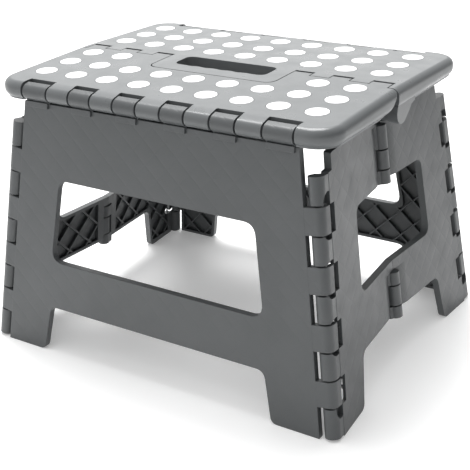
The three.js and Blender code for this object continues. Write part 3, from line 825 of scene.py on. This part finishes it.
class Nodes:
    """Short names for the shader nodes that the materials share."""

    def __init__(self, name):
        self.material = bpy.data.materials.new(name)
        self.material.use_nodes = True
        self.tree = self.material.node_tree
        self.shader = self.tree.nodes["Principled BSDF"]
        self.place = self.add("ShaderNodeTexCoord").outputs["Object"]

    def add(self, kind, **settings):
        node = self.tree.nodes.new(kind)
        for key, value in settings.items():
            setattr(node, key, value)
        return node

    def link(self, source, target):
        self.tree.links.new(source, target)

    def noise(self, scale, detail=3):
        node = self.add("ShaderNodeTexNoise")
        node.inputs["Scale"].default_value = scale
        node.inputs["Detail"].default_value = detail
        self.link(self.place, node.inputs["Vector"])
        return node.outputs["Fac"]

    def spread(self, source, low, high):
        node = self.add("ShaderNodeMapRange")
        node.inputs["From Min"].default_value = 0.3
        node.inputs["From Max"].default_value = 0.7
        node.inputs["To Min"].default_value = low
        node.inputs["To Max"].default_value = high
        self.link(source, node.inputs["Value"])
        return node.outputs["Result"]

    def math(self, operation, first, second=0.0):
        node = self.add("ShaderNodeMath", operation=operation)
        for socket, value in zip(node.inputs, (first, second)):
            if isinstance(value, (int, float)):
                socket.default_value = value
            else:
                self.link(value, socket)
        return node.outputs[0]

    def tint(self, factor, dark, light):
        ramp = self.add("ShaderNodeValToRGB")
        ramp.color_ramp.elements[0].position = 0.3
        ramp.color_ramp.elements[1].position = 0.7
        ramp.color_ramp.elements[0].color = (*dark, 1)
        ramp.color_ramp.elements[1].color = (*light, 1)
        self.link(factor, ramp.inputs["Fac"])
        self.link(ramp.outputs["Color"], self.shader.inputs["Base Color"])

    def bump(self, height, strength, distance, under=None):
        node = self.add("ShaderNodeBump")
        node.inputs["Strength"].default_value = strength
        node.inputs["Distance"].default_value = distance
        self.link(height, node.inputs["Height"])
        if under is not None:
            self.link(under, node.inputs["Normal"])
        return node.outputs["Normal"]

    def quilting(self, pitch):
        """A relief of soft diamonds, laid out along whichever side a panel faces."""
        axes = self.add("ShaderNodeSeparateXYZ")
        self.link(self.place, axes.inputs[0])
        level = self.math("ADD", axes.outputs["X"], axes.outputs["Y"])
        waves = []
        for operation in ("ADD", "SUBTRACT"):
            run = self.math(operation, level, axes.outputs["Z"])
            wave = self.math("SINE", self.math("MULTIPLY", run, math.pi / pitch))
            waves.append(self.math("ABSOLUTE", wave))
        return self.math("POWER", self.math("MINIMUM", *waves), 0.35)


def plastic(name, dark, light, roughness, grain, quilt=0.0):
    nodes = Nodes(name)
    nodes.tint(nodes.noise(14, 4), dark, light)
    nodes.link(nodes.spread(nodes.noise(60), *roughness), nodes.shader.inputs["Roughness"])
    nodes.shader.inputs["Specular IOR Level"].default_value = 0.5
    normal = nodes.bump(nodes.noise(1800, 2), grain, 0.00006)
    if quilt:
        normal = nodes.bump(nodes.quilting(0.019), quilt, 0.0004, normal)
    nodes.link(normal, nodes.shader.inputs["Normal"])
    return nodes.material


def rubber():
    nodes = Nodes("dot_rubber")
    nodes.tint(nodes.noise(90), (0.84, 0.845, 0.85), (0.9, 0.9, 0.9))
    nodes.link(nodes.spread(nodes.noise(300), 0.5, 0.62), nodes.shader.inputs["Roughness"])
    nodes.link(nodes.bump(nodes.noise(2500, 2), 0.3, 0.00005), nodes.shader.inputs["Normal"])
    return nodes.material


def steel():
    nodes = Nodes("drawn_steel")
    nodes.tint(nodes.noise(200), (0.5, 0.51, 0.52), (0.64, 0.65, 0.66))
    nodes.shader.inputs["Metallic"].default_value = 1
    nodes.link(nodes.spread(nodes.noise(700), 0.25, 0.4), nodes.shader.inputs["Roughness"])
    return nodes.material


# ---- Stage ------------------------------------------------------------------------------------------

def make_floor():
    mesh = bpy.data.meshes.new("floor")
    reach = 40
    corners = [(x, y, 0) for x, y in rectangle(-reach, reach, -reach, reach)]
    mesh.from_pydata(corners, [], [(0, 1, 2, 3)])
    floor = new_object("floor", mesh)
    nodes = Nodes("pale_floor")
    nodes.tint(nodes.noise(3), (0.88, 0.88, 0.88), (0.9, 0.9, 0.9))
    nodes.shader.inputs["Roughness"].default_value = 0.9
    nodes.shader.inputs["Emission Color"].default_value = (1, 1, 1, 1)
    nodes.shader.inputs["Emission Strength"].default_value = 0.22
    mesh.materials.append(nodes.material)


def make_world():
    """A soft room, brightest above and at the left, dark at the right."""
    bpy.context.scene.view_settings.view_transform = "Standard"
    world = bpy.data.worlds.new("studio")
    world.use_nodes = True
    tree = world.node_tree
    ramp = tree.nodes.new("ShaderNodeValToRGB")
    facing = tree.nodes.new("ShaderNodeVectorMath")
    facing.operation = "DOT_PRODUCT"
    facing.inputs[1].default_value = (-0.8, 0, 0.5)
    tree.links.new(tree.nodes.new("ShaderNodeTexCoord").outputs["Generated"], facing.inputs[0])
    level = tree.nodes.new("ShaderNodeMath")
    level.operation = "ADD"
    level.inputs[1].default_value = 0.58
    tree.links.new(facing.outputs["Value"], level.inputs[0])
    tree.links.new(level.outputs[0], ramp.inputs["Fac"])
    tree.links.new(ramp.outputs["Color"], tree.nodes["Background"].inputs["Color"])
    ramp.color_ramp.elements[0].color = (0.08, 0.08, 0.08, 1)
    ramp.color_ramp.elements[1].color = (1.05, 1.05, 1.05, 1)
    tree.nodes["Background"].inputs["Strength"].default_value = 1.0
    bpy.context.scene.world = world


def make_lights():
    for name, place, size, power in (
        ("key", (-0.3, 0.3, 1.4), 0.8, 24),
        ("backdrop", (-1.1, 1.7, 1.15), 1.6, 5.5),
    ):
        data = bpy.data.lights.new(name, "AREA")
        data.size = size
        data.energy = power
        light = bpy.data.objects.new(name, data)
        bpy.context.scene.collection.objects.link(light)
        light.location = place
        aim = Vector((0, 0, HEIGHT * MM / 2)) - light.location
        light.rotation_euler = aim.to_track_quat("-Z", "Y").to_euler()


def make_camera():
    right = Vector((0.84582591, 0.53256541, -0.03086425))
    down = Vector((0.19479019, -0.36219407, -0.91152194))
    ahead = Vector((-0.49662391, 0.76497682, -0.41009165))
    turn = Matrix((right, -down, -ahead)).transposed().to_4x4()
    data = bpy.data.cameras.new("camera")
    data.lens = 79.04
    data.sensor_width = 36
    data.shift_x = -0.5 / 470
    data.shift_y = 0.5 / 470
    camera = bpy.data.objects.new("camera", data)
    camera.matrix_world = Matrix.Translation((0.4254, -0.6566, 0.4255)) @ turn
    bpy.context.scene.collection.objects.link(camera)
    bpy.context.scene.camera = camera


# ---- The stool on its frame -----------------------------------------------------------------------

def dress(obj, material, body, nodes):
    obj.data.materials.clear()
    obj.data.materials.append(material)
    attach(obj, body)
    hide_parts(*nodes)


def numbered_dots(half):
    return sorted(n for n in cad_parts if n.startswith(half + "_grip_dot_"))


make_camera()
make_world()
make_lights()
make_floor()

# One grey plastic in two copies: the tread's copy is lighter and the body's darker, partly their own tones
# and partly painted light on the top and painted shade on the sides.
body_plastic_and_painted_shade = plastic("body_plastic_and_painted_shade", (0.066, 0.071, 0.073), (0.077, 0.082, 0.085), (0.34, 0.46), 0.35, 0.35)
tread_plastic_and_painted_light = plastic("tread_plastic_and_painted_light", (0.1, 0.107, 0.11), (0.113, 0.12, 0.123), (0.26, 0.36), 0.25)
dot_rubber = rubber()

leg = leg_panel("front_leg")
rear_leg = twin(leg, "rear_leg", HALF_TURN)
outer_pair = end_panel("right_front_end", [0, 2])
middle_one = end_panel("middle_one", [1])
right_rear = twin(middle_one, "right_rear_end", MIRROR_Y)
left_front = twin(middle_one, "left_front_end", HALF_TURN @ MIRROR_Y)
left_rear = twin(outer_pair, "left_rear_end", HALF_TURN)
bpy.data.objects.remove(middle_one)

panels = [
    (leg, "leg_front", "front_leg_panel"),
    (rear_leg, "leg_rear", "rear_leg_panel"),
    (outer_pair, "end_right_front", "right_front_end_panel"),
    (right_rear, "end_right_rear", "right_rear_end_panel"),
    (left_front, "end_left_front", "left_front_end_panel"),
    (left_rear, "end_left_rear", "left_rear_end_panel"),
]
for panel, body, node in panels:
    soften(panel, 0.4)
    dress(panel, body_plastic_and_painted_shade, body, [node])

for half, side in (("front", -1), ("rear", 1)):
    dress(top_half(half + "_tread", side), tread_plastic_and_painted_light, "top_" + half, [f"top_{half}_panel"])
    dress(grip_dots(half + "_grip_dots", side), dot_rubber, "top_" + half, numbered_dots(half))

drawn_steel = steel()
for node in ("right_ridge_pin", "left_ridge_pin"):
    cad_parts[node].data.materials.clear()
    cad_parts[node].data.materials.append(drawn_steel)
